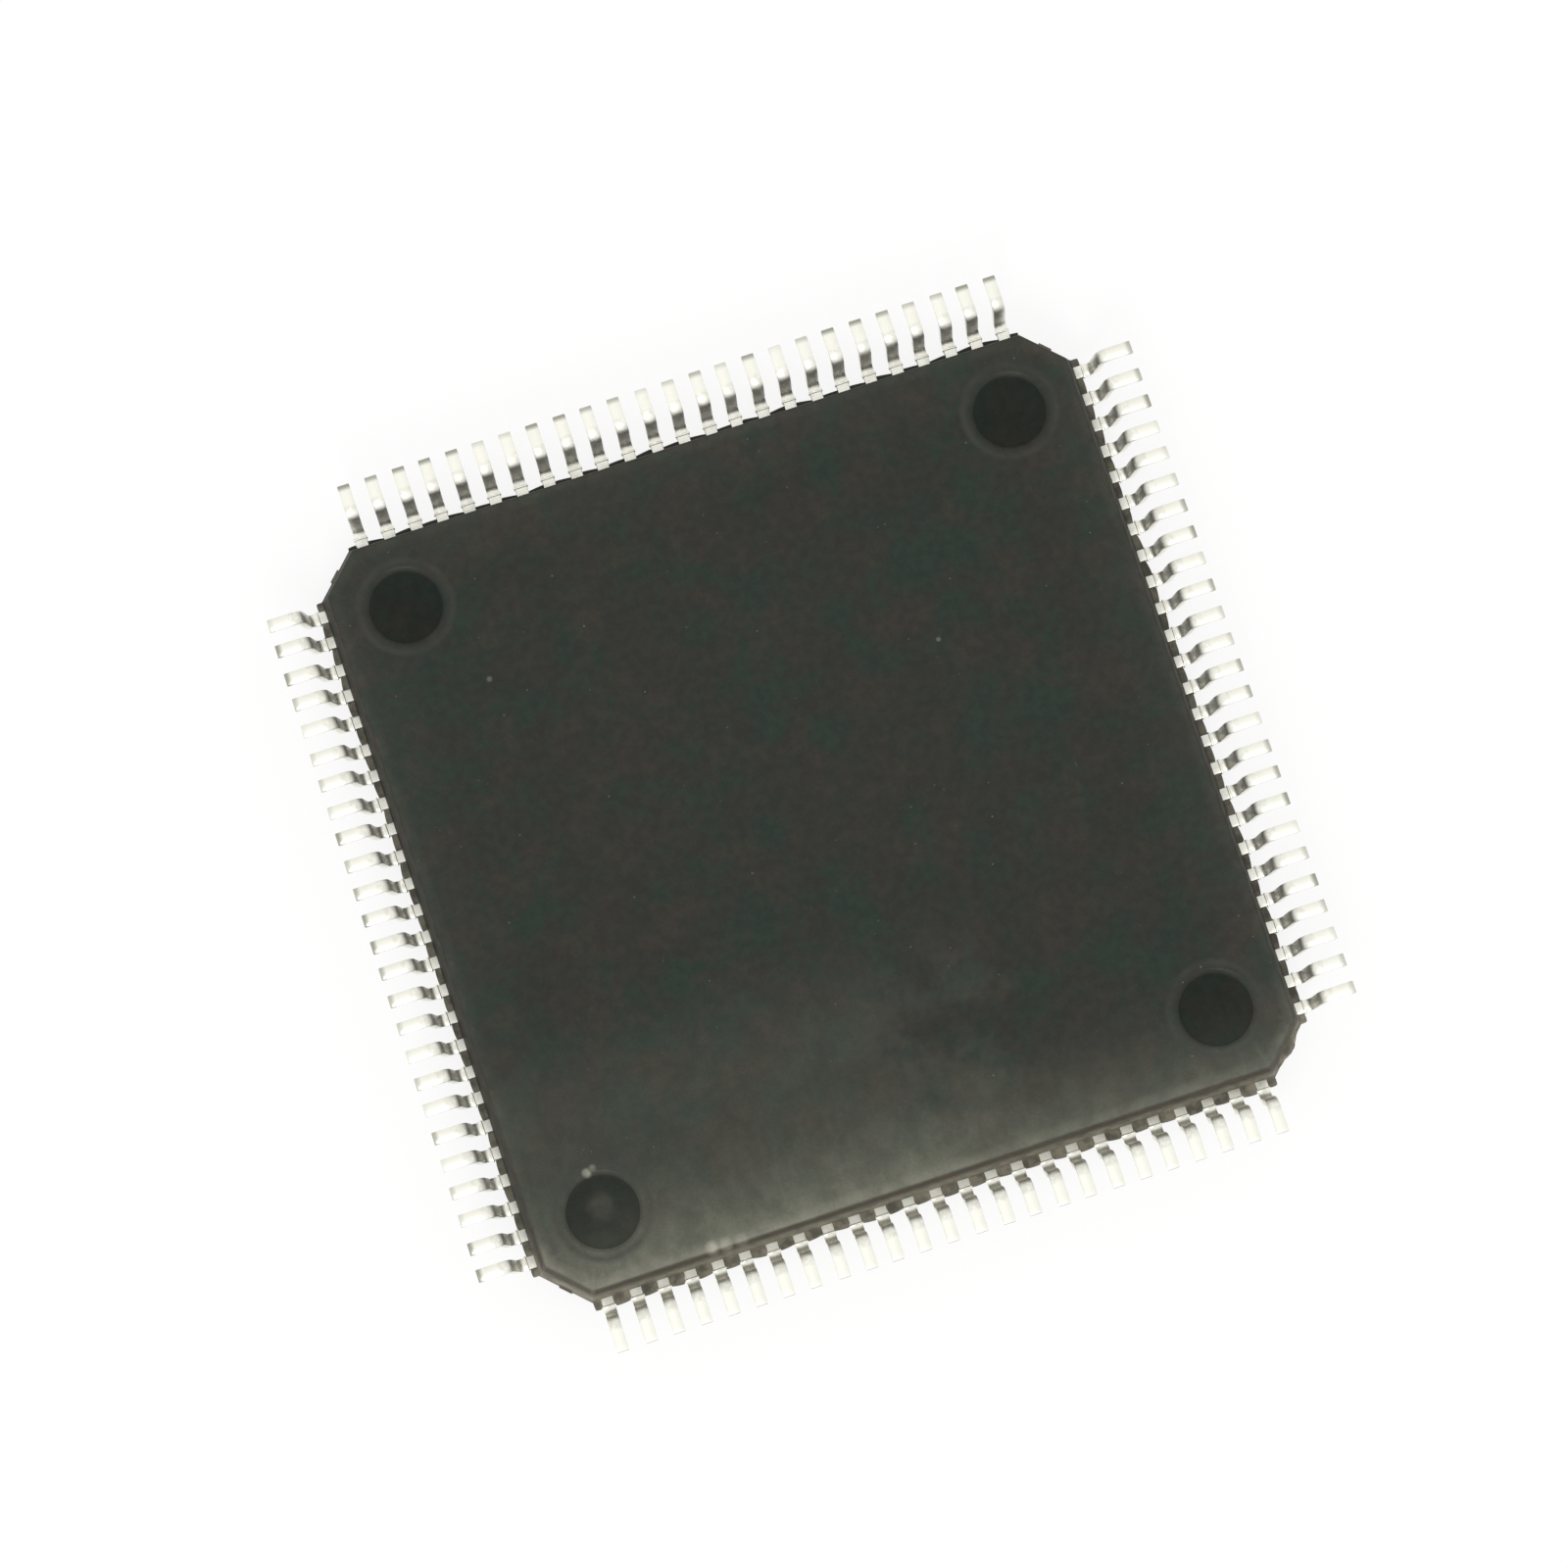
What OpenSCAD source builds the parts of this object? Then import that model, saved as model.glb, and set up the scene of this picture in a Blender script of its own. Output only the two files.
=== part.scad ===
// Quad flat pack integrated circuit: a square moulded body with a row of gull-wing leads on
// each of its four sides. Inside the resin a silicon chip is glued to the pad of the lead
// frame, and a fine wire joins it to each lead. Every sub-part is built as the package stands
// on its feet, with each row first on the +Y side. Then it is turned over, and lies on its
// back with its feet up. The origin is on the plane it lies on, under the middle of the body.

/* [Moulded body] */
// Width of the body over the parting line, the same both ways
body_w = 14; // [13.9:0.1:15]
// Thickness of the body
body_t = 1.4; // [1.3:0.05:1.8]
// Gap between the seating plane and the underside of the body
standoff = 0.1; // [0.05:0.01:0.15]
// Draft of the side walls, in degrees
wall_draft = 12; // [8:1:14]
// Leg of the 45 degree cut across each corner, at the parting line
corner_cut = 0.75; // [0.5:0.05:0.8]
// Radius between the side walls and the two flat faces
edge_r = 0.06; // [0.03:0.01:0.1]
// Reach of the resin web between the leads, from the parting line
web_out = 0.12; // [0.08:0.01:0.14]

/* [Ejector marks] */
// Diameter of a round mark at its mouth
mark_d = 1.4; // [1:0.05:1.5]
// Depth of a mark
mark_depth = 0.08; // [0.04:0.01:0.1]
// Width of the sloping rim round a mark's floor
mark_rim = 0.07; // [0.03:0.01:0.1]
// Distance from a mark's centre to the parting line of both walls beside it
mark_inset = 1.4; // [1.2:0.05:1.6]

/* [Gate] */
// Width of the resin stub broken off at the mould's gate, on one corner
gate_w = 0.7; // [0.5:0.05:0.9]
// Height of the stub, below the leads
gate_h = 0.2; // [0.1:0.01:0.3]
// Reach of the stub beyond the corner face
gate_out = 0.08; // [0.04:0.01:0.12]

/* [Leads outside the body] */
// Distance from lead to lead; each side has as many as fit between its corner cuts
lead_pitch = 0.5; // [0.46:0.01:0.6]
// Width of a lead
lead_w = 0.22; // [0.18:0.01:0.24]
// Thickness of the lead frame sheet
lead_t = 0.127; // [0.1:0.001:0.15]
// Reach of the leads from the parting line to their tips
lead_reach = 1; // [0.98:0.01:1.1]
// Length of the flat sole of a foot
foot_len = 0.42; // [0.36:0.01:0.42]
// Inside radius of both bends of a lead
bend_r = 0.1; // [0.08:0.01:0.1]
// Lean of a lead's shank from the vertical, in degrees
shank_lean = 8; // [3:1:8]
// Length of the nibs left on a lead's sides where the dam bar was cut off
nib_len = 0.04; // [0.02:0.01:0.05]
// Reach of those nibs from a lead's sides
nib_out = 0.02; // [0.01:0.005:0.03]

/* [Leads inside the body] */
// Length of the straight root of a lead behind the parting line
root_len = 0.5; // [0.3:0.05:0.6]
// Width of a finger at its tip
tip_w = 0.15; // [0.12:0.01:0.16]
// Gap between the chip pad and the finger tips
tip_gap = 0.25; // [0.2:0.01:0.35]
// Gap between a row's outermost finger tips and the tie bars beside them
tie_gap = 0.24; // [0.2:0.01:0.3]

/* [Holding tape] */
// Distance of the tape from the finger tips
tape_gap = 0.7; // [0.6:0.05:0.9]
// Width of the tape
tape_w = 0.9; // [0.6:0.05:1]
// Thickness of the tape
tape_t = 0.05; // [0.03:0.01:0.08]

/* [Chip pad] */
// Width of the pad under the chip
pad_w = 7.4; // [6.8:0.1:7.6]
// Depth of the pad below the leads
pad_drop = 0.2; // [0.15:0.01:0.25]
// Width of the tie bars that hold the pad at its corners
tie_w = 0.25; // [0.2:0.01:0.3]
// Reach of the cut tie bars beyond the corner faces
tie_out = 0.03; // [0.02:0.005:0.05]
// Distance along a tie bar from the pad's corner to the start of its slope
tie_low = 0.2; // [0.1:0.05:0.3]
// Run of the slope along a tie bar
tie_slope = 0.35; // [0.25:0.05:0.4]

/* [Chip] */
// Width of the silicon chip
chip_w = 5; // [4.4:0.1:5.6]
// Thickness of the chip
chip_t = 0.28; // [0.2:0.01:0.3]
// Thickness of the glue under the chip
glue_t = 0.03; // [0.02:0.005:0.04]
// Width of the glue that shows round the chip
glue_out = 0.1; // [0.05:0.01:0.15]

/* [Bond wires] */
// Diameter of a wire
wire_d = 0.03; // [0.02:0.005:0.04]
// Height of a wire's start above the chip
neck_h = 0.13; // [0.1:0.01:0.16]
// Diameter of the neck that stands on a wire's ball
neck_d = 0.05; // [0.045:0.005:0.06]
// Diameter of the ball at the start of a wire
ball_d = 0.08; // [0.07:0.005:0.09]
// Height of that ball
ball_h = 0.02; // [0.015:0.005:0.03]
// Distance of the balls from the edge of the chip
ball_inset = 0.12; // [0.08:0.01:0.15]
// Distance of the outermost balls from the corners of the chip
ball_margin = 0.4; // [0.3:0.05:0.6]
// Distance from a finger's tip to the end of its wire
land_len = 0.25; // [0.2:0.01:0.3]

/* [Hidden] */
$fn = 48;

// Turns from the row on the +Y side, each named for where its row ends once turned over
FRONT = 0;
LEFT = 90;
BACK = 180;
RIGHT = 270;
SIDES = [FRONT, LEFT, BACK, RIGHT];
GATE_TURN = 45;

// Heights above the feet
top_z = standoff + body_t;
part_z = standoff + body_t / 2;             // parting line, at the middle of the lead sheet
lead_z = part_z - lead_t / 2;
lead_top = lead_z + lead_t;
pad_z = lead_z - pad_drop;
pad_top = pad_z + lead_t;
glue_top = pad_top + glue_t;
chip_top = glue_top + chip_t;

// Number of leads on a side, and half the length of their row with half a gap at each end
rounding = 0.001;
lead_count = floor((body_w - 2 * corner_cut) / lead_pitch + rounding);
row_half = lead_count * lead_pitch / 2;

// Plan distances from the middle of the body
half_w = body_w / 2;
web_d = half_w + web_out;
root_d = half_w - root_len;
tip_d = pad_w / 2 + tip_gap;
tape_in = tip_d + tape_gap;
corner_d = (body_w - corner_cut) / sqrt(2); // to a corner face, along the diagonal
pad_corner_d = pad_w / sqrt(2);

// The finger tips share the room between the tie bars
last_tip = tip_d - (tie_w / 2 + tie_gap) * sqrt(2) - tip_w / 2;
tip_pitch = 2 * last_tip / (lead_count - 1);

// Bent part of a lead, from the end of its shoulder down to its foot
bend_turn = 90 - shank_lean;
bend_mid = bend_r + lead_t / 2;
bend_run = bend_mid * sin(bend_turn);
bend_fall = bend_mid * (1 - cos(bend_turn));
shank_run = (lead_z - 2 * bend_fall) * tan(shank_lean);
shoulder_d = half_w + lead_reach - foot_len - 2 * bend_run - shank_run;
bend_chords = 5;
edge_chords = 3;                            // round the edges of the body

// Wires, in plan
ball_pitch = (chip_w - 2 * ball_margin) / (lead_count - 1);
ball_row = chip_w / 2 - ball_inset;
land_share = land_len / (root_d - tip_d);   // how far along its slanting finger a wire lands

// Place along its row of copy i, with the row's middle at zero
function along(i, pitch) = (i - (lead_count - 1) / 2) * pitch;

// Points of an arc of n chords, both ends included
function arc(centre, r, from, to, n) =
    [for (k = [0:n]) let (a = from + (to - from) * k / n) centre + r * [cos(a), sin(a)]];

// Turns what stands on its feet over, to lie on its back
module on_its_back() {
    translate([0, 0, top_z]) rotate([180, 0, 0]) children();
}

// ---- Moulded body ----

// Half section of the body over a half width: the wall of one side, above the parting line
function wall_points(half) =
    let (rise = body_t / 2,
         inset = rise * tan(wall_draft) + edge_r * tan(45 - wall_draft / 2))
    concat([[half, 0]], arc([half - inset, rise - edge_r], edge_r, wall_draft, 90, edge_chords));

// A bar as thick as the body, with drafted walls and rounded edges, along the Y axis
module drafted_bar(half) {
    wall = wall_points(half);
    last = len(wall) - 1;
    translate([0, body_w, part_z]) rotate([90, 0, 0]) linear_extrude(2 * body_w)
        polygon([for (p = wall) p,
                 for (k = [last:-1:0]) [-wall[k][0], wall[k][1]],
                 for (k = [1:last]) [-wall[k][0], -wall[k][1]],
                 for (k = [last:-1:1]) [wall[k][0], -wall[k][1]]]);
}

// The square body with its four corners cut, as the part of four bars that they all share
module moulding() {
    intersection() {
        drafted_bar(half_w);
        rotate(90) drafted_bar(half_w);
        rotate(45) drafted_bar(corner_d);
        rotate(-45) drafted_bar(corner_d);
    }
}

// Resin that filled the gaps between the leads as far as the dam bar
module resin_web() {
    translate([-row_half, -web_d, lead_z]) cube([2 * row_half, 2 * web_d, lead_t]);
    translate([-web_d, -row_half, lead_z]) cube([2 * web_d, 2 * row_half, lead_t]);
}

// Stub left where the resin was broken off at the gate, under the tie bar's end
module gate_stub() {
    side = gate_w / 2;
    reach = corner_d + gate_out;
    notch = gate_out / 3;
    rotate(GATE_TURN) translate([0, 0, lead_z - gate_h]) linear_extrude(gate_h)
        polygon([[root_d, -side], [corner_d, -side], [reach, notch - side], [reach - notch, 0],
                 [reach, side / 2], [corner_d, side], [root_d, side]]);
}

// Cutter for one shallow round mark, with its mouth at z = 0
module ejector_mark() {
    clear = 0.01;
    floor_r = mark_d / 2 - mark_rim;
    flare = mark_rim / mark_depth;
    translate([0, 0, -mark_depth])
        cylinder(h = mark_depth + clear, r1 = floor_r, r2 = mark_d / 2 + clear * flare);
}

module ejector_marks() {
    at = half_w - mark_inset;
    for (x = [-at, at], y = [-at, at]) {
        translate([x, y, top_z]) ejector_mark();
        translate([x, y, standoff]) mirror([0, 0, 1]) ejector_mark();
    }
}

module body() {
    color([0.20, 0.21, 0.19]) on_its_back() difference() {
        union() {
            moulding();
            resin_web();
            gate_stub();
        }
        ejector_marks();
        for (side = SIDES, i = [0:lead_count - 1]) rotate(side) lead_sheet(i);
        for (side = SIDES, i = [0:lead_count - 1]) rotate(side) wire(i);
        pad_and_ties();
        glue_layer();
        silicon();
        tape_ring();
    }
}

// ---- Lead frame ----

// Side view of a lead outside the body, as distance from the middle and height: along the top
// from the body to the toe, and back along the underside
function bent_strip() =
    let (outer = bend_r + lead_t,
         low = 180 + shank_lean,
         upper_bend = [shoulder_d, lead_z - bend_r],
         lower_bend = [shoulder_d + 2 * bend_run + shank_run, outer],
         toe = half_w + lead_reach)
    [[half_w, lead_top], each arc(upper_bend, outer, 90, shank_lean, bend_chords),
     each arc(lower_bend, bend_r, low, 270, bend_chords), [toe, lead_t],
     [toe, 0], each arc(lower_bend, outer, 270, low, bend_chords),
     each arc(upper_bend, bend_r, shank_lean, 90, bend_chords), [half_w, lead_z]];

// The flat part of a lead: slanting finger, straight root, and shoulder with the dam bar's nibs
module lead_sheet(i) {
    x = along(i, lead_pitch);
    tip_x = along(i, tip_pitch);
    side = lead_w / 2;
    nib = side + nib_out;
    nib_end = web_d + nib_len;
    translate([0, 0, lead_z]) linear_extrude(lead_t)
        polygon([[tip_x - tip_w / 2, tip_d], [tip_x + tip_w / 2, tip_d], [x + side, root_d],
                 [x + side, web_d], [x + nib, web_d], [x + nib, nib_end], [x + side, nib_end],
                 [x + side, shoulder_d], [x - side, shoulder_d],
                 [x - side, nib_end], [x - nib, nib_end], [x - nib, web_d], [x - side, web_d],
                 [x - side, root_d]]);
}

module lead(i) {
    lead_sheet(i);
    translate([along(i, lead_pitch) - lead_w / 2, 0, 0]) rotate([90, 0, 90])
        linear_extrude(lead_w) polygon(bent_strip());
}

module lead_row(side) {
    color([0.80, 0.79, 0.76]) on_its_back() rotate(side)
        for (i = [0:lead_count - 1]) lead(i);
}

module back_leads() { lead_row(BACK); }
module left_leads() { lead_row(LEFT); }
module front_leads() { lead_row(FRONT); }
module right_leads() { lead_row(RIGHT); }

// A tie bar along +X: low at the pad, then up a slope to the level of the leads
module tie_bar() {
    slope_start = pad_corner_d + tie_low;
    slope_end = slope_start + tie_slope;
    tie_end = corner_d + tie_out;
    tie_start = pad_corner_d - tie_w;
    translate([0, tie_w / 2, 0]) rotate([90, 0, 0]) linear_extrude(tie_w)
        polygon([[tie_start, pad_z], [slope_start, pad_z], [slope_end, lead_z], [tie_end, lead_z],
                 [tie_end, lead_top], [slope_end, lead_top], [slope_start, pad_top],
                 [tie_start, pad_top]]);
}

module pad_and_ties() {
    translate([-pad_w / 2, -pad_w / 2, pad_z]) cube([pad_w, pad_w, lead_t]);
    for (side = SIDES) rotate(side + 45) tie_bar();
}

module chip_pad() {
    color([0.72, 0.45, 0.30]) on_its_back() pad_and_ties();
}

// Tape on top of the fingers, in a square ring, which keeps them in line
module tape_ring() {
    outer = tape_in + tape_w;
    translate([0, 0, lead_top]) linear_extrude(tape_t) difference() {
        square(2 * outer, center = true);
        square(2 * tape_in, center = true);
    }
}

module finger_tape() {
    color([0.75, 0.45, 0.12]) on_its_back() tape_ring();
}

// ---- Chip and wires ----

module silicon() {
    translate([-chip_w / 2, -chip_w / 2, glue_top]) cube([chip_w, chip_w, chip_t]);
}

module chip() {
    color([0.35, 0.37, 0.42]) on_its_back() silicon();
}

module glue_layer() {
    glue_w = chip_w + 2 * glue_out;
    translate([-glue_w / 2, -glue_w / 2, pad_top]) cube([glue_w, glue_w, glue_t]);
}

module chip_glue() {
    color([0.70, 0.70, 0.72]) on_its_back() glue_layer();
}

// Ball of a wire, squashed on the chip, with the neck that stands on it
module ball_and_neck() {
    neck_top = neck_h + neck_d / 2;
    rotate_extrude()
        polygon([[0, 0], [ball_d / 2, 0], [ball_d / 2, ball_h], [neck_d / 2, ball_h],
                 [neck_d / 2, neck_top], [0, neck_top]]);
}

// A wire: from inside its neck it runs out and down, until the top of its finger cuts it off
module wire(i) {
    x = along(i, lead_pitch);
    tip_x = along(i, tip_pitch);
    from = [along(i, ball_pitch), ball_row];
    to = [tip_x + (x - tip_x) * land_share, tip_d + land_len];
    heading = atan2(to[1] - from[1], to[0] - from[0]);

    span = norm(to - from);
    drop = chip_top + neck_h - lead_top;
    slope = atan2(drop, span);
    run = norm([span, drop]) + wire_d / sin(slope);
    translate([from[0], from[1], chip_top]) rotate(heading) {
        ball_and_neck();
        difference() {
            translate([0, 0, neck_h]) rotate([0, 90 + slope, 0]) cylinder(h = run, d = wire_d);
            translate([0, -wire_d, neck_h - 2 * drop]) cube([2 * span, 2 * wire_d, drop]);
        }
    }
}

module wire_row(side) {
    color([0.95, 0.78, 0.35]) on_its_back() rotate(side)
        for (i = [0:lead_count - 1]) wire(i);
}

module back_wires() { wire_row(BACK); }
module left_wires() { wire_row(LEFT); }
module front_wires() { wire_row(FRONT); }
module right_wires() { wire_row(RIGHT); }

body();
chip();
chip_glue();
chip_pad();
finger_tape();
front_leads();
right_leads();
back_leads();
left_leads();
front_wires();
right_wires();
back_wires();
left_wires();
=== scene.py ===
"""Looks of a quad flat pack chip: a moulded resin body with four rows of gull-wing leads.

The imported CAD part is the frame. The package lies on its back, with its feet up. Each class
below builds one sub-assembly round the frame and dresses it. Lengths are in metres, heights
start at the plane that the package lies on, and each row is worked out on the +Y side and turned
to its own side.
"""

import logging
import math
import random
from dataclasses import dataclass
from enum import Enum
from functools import reduce
from typing import Callable, Sequence

import bmesh
import bpy
from mathutils import Matrix, Vector


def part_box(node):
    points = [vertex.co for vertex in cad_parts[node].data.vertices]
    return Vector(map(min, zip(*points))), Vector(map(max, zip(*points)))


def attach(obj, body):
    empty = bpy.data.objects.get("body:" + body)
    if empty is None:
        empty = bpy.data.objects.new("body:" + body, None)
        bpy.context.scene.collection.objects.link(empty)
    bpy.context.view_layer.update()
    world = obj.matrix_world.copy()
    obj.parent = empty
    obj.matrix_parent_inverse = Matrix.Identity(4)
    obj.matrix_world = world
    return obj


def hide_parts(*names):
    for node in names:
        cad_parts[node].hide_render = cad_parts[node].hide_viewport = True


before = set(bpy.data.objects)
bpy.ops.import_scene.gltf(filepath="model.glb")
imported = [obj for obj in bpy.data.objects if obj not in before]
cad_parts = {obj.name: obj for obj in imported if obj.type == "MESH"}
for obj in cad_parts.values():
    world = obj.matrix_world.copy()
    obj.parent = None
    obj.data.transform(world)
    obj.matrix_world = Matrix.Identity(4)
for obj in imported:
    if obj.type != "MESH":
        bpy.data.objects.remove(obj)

LOG = logging.getLogger("chip")
MM = 0.001
BODY = "root"
SMEARED_END = 0.3 * MM
ROUNDING = 0.001
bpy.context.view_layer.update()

Colour = tuple[float, float, float]
Triple = tuple[float, float, float]
# The limits that a value is spread between, and what they become where that isn't 0 and 1.
Span = tuple[float, ...]
# The numbers of one ring, row or station of a shape.
Station = tuple[float, ...]
Socket = bpy.types.NodeSocket
Material = bpy.types.Material
Object = bpy.types.Object
BMesh = bmesh.types.BMesh
Vert = bmesh.types.BMVert
# The kind of socket that takes each type of value into a tree of Geometry Nodes.
INPUT_KINDS = {int: "NodeSocketInt", float: "NodeSocketFloat",
               Object: "NodeSocketObject", Material: "NodeSocketMaterial"}


class Slot(Enum):
    """Material slots of the record that the new pieces stand for."""

    RESIN = "moulding_resin"
    TIN = "matt_tin"


class Side(Enum):
    """Sides of the package, with the turn in degrees from the +Y row to each."""

    BACK = 0
    LEFT = 90
    FRONT = 180
    RIGHT = 270

    @property
    def word(self) -> str:
        """Name of the side in the names of its nodes."""
        return self.name.lower()


@dataclass(frozen=True)
class PackageSizes:
    """Sizes that several sub-assemblies share.

    The first fields come from the frame. The rest repeat values of the part's own source that
    the boxes of its nodes don't give.
    """

    half_w: float
    low_z: float
    high_z: float
    toe: float
    tip: float
    sheet_z: float
    sole_z: float
    web_out: float = 0.12 * MM
    draft: float = math.radians(12)
    corner_cut: float = 0.75 * MM
    edge_r: float = 0.06 * MM
    mark_inset: float = 1.4 * MM
    pitch: float = 0.5 * MM
    lead_w: float = 0.22 * MM
    lead_t: float = 0.127 * MM

    @classmethod
    def from_frame(cls) -> "PackageSizes":
        """Reads the boxes of the body and of one row.

        Returns:
            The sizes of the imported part.
        """
        body_low, body_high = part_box("body")
        row_low, row_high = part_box("back_leads")
        return cls(half_w=body_high.x - cls.web_out, low_z=body_low.z, high_z=body_high.z,
                   toe=row_high.y, tip=row_low.y, sheet_z=row_low.z, sole_z=row_high.z)

    @property
    def part_z(self) -> float:
        """Height of the parting line."""
        return (self.low_z + self.high_z) / 2

    @property
    def corner_d(self) -> float:
        """Distance of a corner face from the middle, at the parting line."""
        return (2 * self.half_w - self.corner_cut) / math.sqrt(2)

    @property
    def mark_at(self) -> float:
        """Distance of the ejector marks from the middle, along X and along Y."""
        return self.half_w - self.mark_inset

    @property
    def lead_count(self) -> int:
        """Number of leads on a side."""
        return math.floor(2 * (self.half_w - self.corner_cut) / self.pitch + ROUNDING)


# ---- Helpers ----


@dataclass(frozen=True)
class Blotch:
    """Blotches of a noise, with the values between low and high spread from to_low to to_high."""

    size: float
    low: float
    high: float
    to_low: float = 0.0
    to_high: float = 1.0
    detail: float = 4.0
    roughness: float = 0.6


class Graph:
    """Adds nodes to one node tree and links them."""

    def __init__(self, tree: bpy.types.NodeTree) -> None:
        """Starts from an empty tree.

        Args:
            tree: The node tree, whose nodes are cleared.
        """
        self.tree = tree
        tree.nodes.clear()

    def add(self, kind: str, inputs: dict | None = None, **settings: object) -> bpy.types.Node:
        """Adds a node.

        Args:
            kind: Type of the node.
            inputs: A value or a socket for each input, by its name or place.
            **settings: Properties of the node.

        Returns:
            The new node.
        """
        node = self.tree.nodes.new(kind)
        for name, value in settings.items():
            setattr(node, name, value)
        for key, value in (inputs or {}).items():
            if isinstance(value, Socket):
                self.tree.links.new(value, node.inputs[key])
            else:
                node.inputs[key].default_value = value
        return node

    def result(self, kind: str, inputs: dict | None = None, **settings: object) -> Socket:
        """Adds a node as add() does, and returns its first output."""
        return self.add(kind, inputs, **settings).outputs[0]

    def math(self, operation: str, *values: object, clamp: bool = False) -> Socket:
        """Adds a Math node.

        Args:
            operation: Name of the operation.
            *values: A number or a socket for each of its inputs.
            clamp: Whether the result is kept from 0 to 1.

        Returns:
            The result's socket.
        """
        return self.result("ShaderNodeMath", dict(enumerate(values)), operation=operation,
                           use_clamp=clamp)

    def spread(self, value: Socket, low: object, high: object, to_low: float = 0.0,
               to_high: float = 1.0, smooth: bool = True) -> Socket:
        """Maps a range of values to another, and holds them there.

        Args:
            value: The value to map.
            low: Start of the range, a number or a socket.
            high: End of the range, a number or a socket.
            to_low: What the start becomes.
            to_high: What the end becomes.
            smooth: Whether the ends are eased.

        Returns:
            The result's socket.
        """
        inputs = dict(enumerate((value, low, high, to_low, to_high)))
        return self.result("ShaderNodeMapRange", inputs,
                           interpolation_type="SMOOTHSTEP" if smooth else "LINEAR")

    def mix(self, share: object, first: object, second: object,
            blend: str = "MIX") -> Socket:
        """Mixes two colours.

        Args:
            share: Share of the second colour, a number or a socket.
            first: A colour or a socket.
            second: A colour or a socket.
            blend: How the second goes on the first.

        Returns:
            The mixed colour's socket.
        """
        node = self.add("ShaderNodeMix", {0: share, 6: rgba(first), 7: rgba(second)},
                        data_type="RGBA", blend_type=blend)
        return node.outputs[2]

    def times(self, *values: object) -> Socket:
        """Multiplies values, numbers or sockets, one after another."""
        return reduce(lambda total, value: self.math("MULTIPLY", total, value), values)

    def plus(self, *values: object) -> Socket:
        """Adds values, numbers or sockets, one after another."""
        return reduce(lambda total, value: self.math("ADD", total, value), values)

    def less(self, first: object, second: object) -> Socket:
        """Takes the second value from the first."""
        return self.math("SUBTRACT", first, second)

    def split(self, vector: Socket) -> tuple[Socket, ...]:
        """Takes a vector apart into X, Y and Z."""
        return tuple(self.add("ShaderNodeSeparateXYZ", {0: vector}).outputs)

    def join(self, x: object = 0.0, y: object = 0.0, z: object = 0.0) -> Socket:
        """Makes a vector of X, Y and Z, each a number or a socket."""
        return self.result("ShaderNodeCombineXYZ", {0: x, 1: y, 2: z})

    def vector(self, operation: str, *values: object) -> Socket:
        """Adds a Vector Math node whose result is a vector."""
        return self.result("ShaderNodeVectorMath", dict(enumerate(values)), operation=operation)

    def measure(self, operation: str, *values: object) -> Socket:
        """Adds a Vector Math node whose result is a number."""
        node = self.add("ShaderNodeVectorMath", dict(enumerate(values)), operation=operation)
        return node.outputs["Value"]

    def noise(self, at: Socket, size: float, detail: float = 2.0,
              roughness: float = 0.5) -> Socket:
        """Adds a noise whose blotches have a real size.

        Args:
            at: Where it is read.
            size: Width of a blotch.
            detail: Number of finer layers.
            roughness: Strength of the finer layers.

        Returns:
            The socket of its value, which is about 0.5 on average.
        """
        return self.result("ShaderNodeTexNoise", {
            "Vector": at, "Scale": 1 / size, "Detail": detail, "Roughness": roughness})

    def blotches(self, at: Socket, kind: Blotch) -> Socket:
        """Adds a noise and spreads its values.

        Args:
            at: Where it is read.
            kind: Its blotches.

        Returns:
            The result's socket.
        """
        return self.spread(self.noise(at, kind.size, kind.detail, kind.roughness), kind.low,
                           kind.high, kind.to_low, kind.to_high)

    def chance(self, seed: Socket, low: float, high: float, shift: int) -> Socket:
        """Draws a number for each copy in a tree of Geometry Nodes.

        Args:
            seed: Seed of the piece.
            low: Lowest number.
            high: Highest number.
            shift: What is added to the seed.

        Returns:
            The number's socket.
        """
        own = self.math("ADD", seed, float(shift))
        node = self.add("FunctionNodeRandomValue", {"Seed": own}, data_type="FLOAT")
        node.inputs[2].default_value = low
        node.inputs[3].default_value = high
        return node.outputs[1]

    def place(self) -> Socket:
        """Place on the piece, in metres."""
        return self.add("ShaderNodeTexCoord").outputs["Object"]

    def stored(self, name: str) -> Socket:
        """Value of an attribute of the mesh, zero where it has none."""
        return self.add("ShaderNodeAttribute", attribute_name=name).outputs["Fac"]

    def bump(self, height: Socket, depth: float, normal: Socket | None = None) -> Socket:
        """Adds a Bump node.

        Args:
            height: Height from 0 to 1.
            depth: How high 1 stands.
            normal: Normal that it goes on, if another bump comes first.

        Returns:
            The socket of the new normal.
        """
        inputs: dict = {"Height": height, "Distance": depth}
        if normal is not None:
            inputs["Normal"] = normal
        return self.result("ShaderNodeBump", inputs)

    def surface(self, inputs: dict) -> None:
        """Ends the tree of a material in a surface shader with these inputs."""
        shader = self.result("ShaderNodeBsdfPrincipled", inputs)
        self.add("ShaderNodeOutputMaterial", {"Surface": shader})

    def dressed(self, mesh: Socket, finish: Socket, chosen: object = True) -> Socket:
        """Gives a finish to the chosen faces of a mesh, or to all of them."""
        return self.result("GeometryNodeSetMaterial", {
            "Geometry": mesh, "Selection": chosen, "Material": finish})

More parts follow.
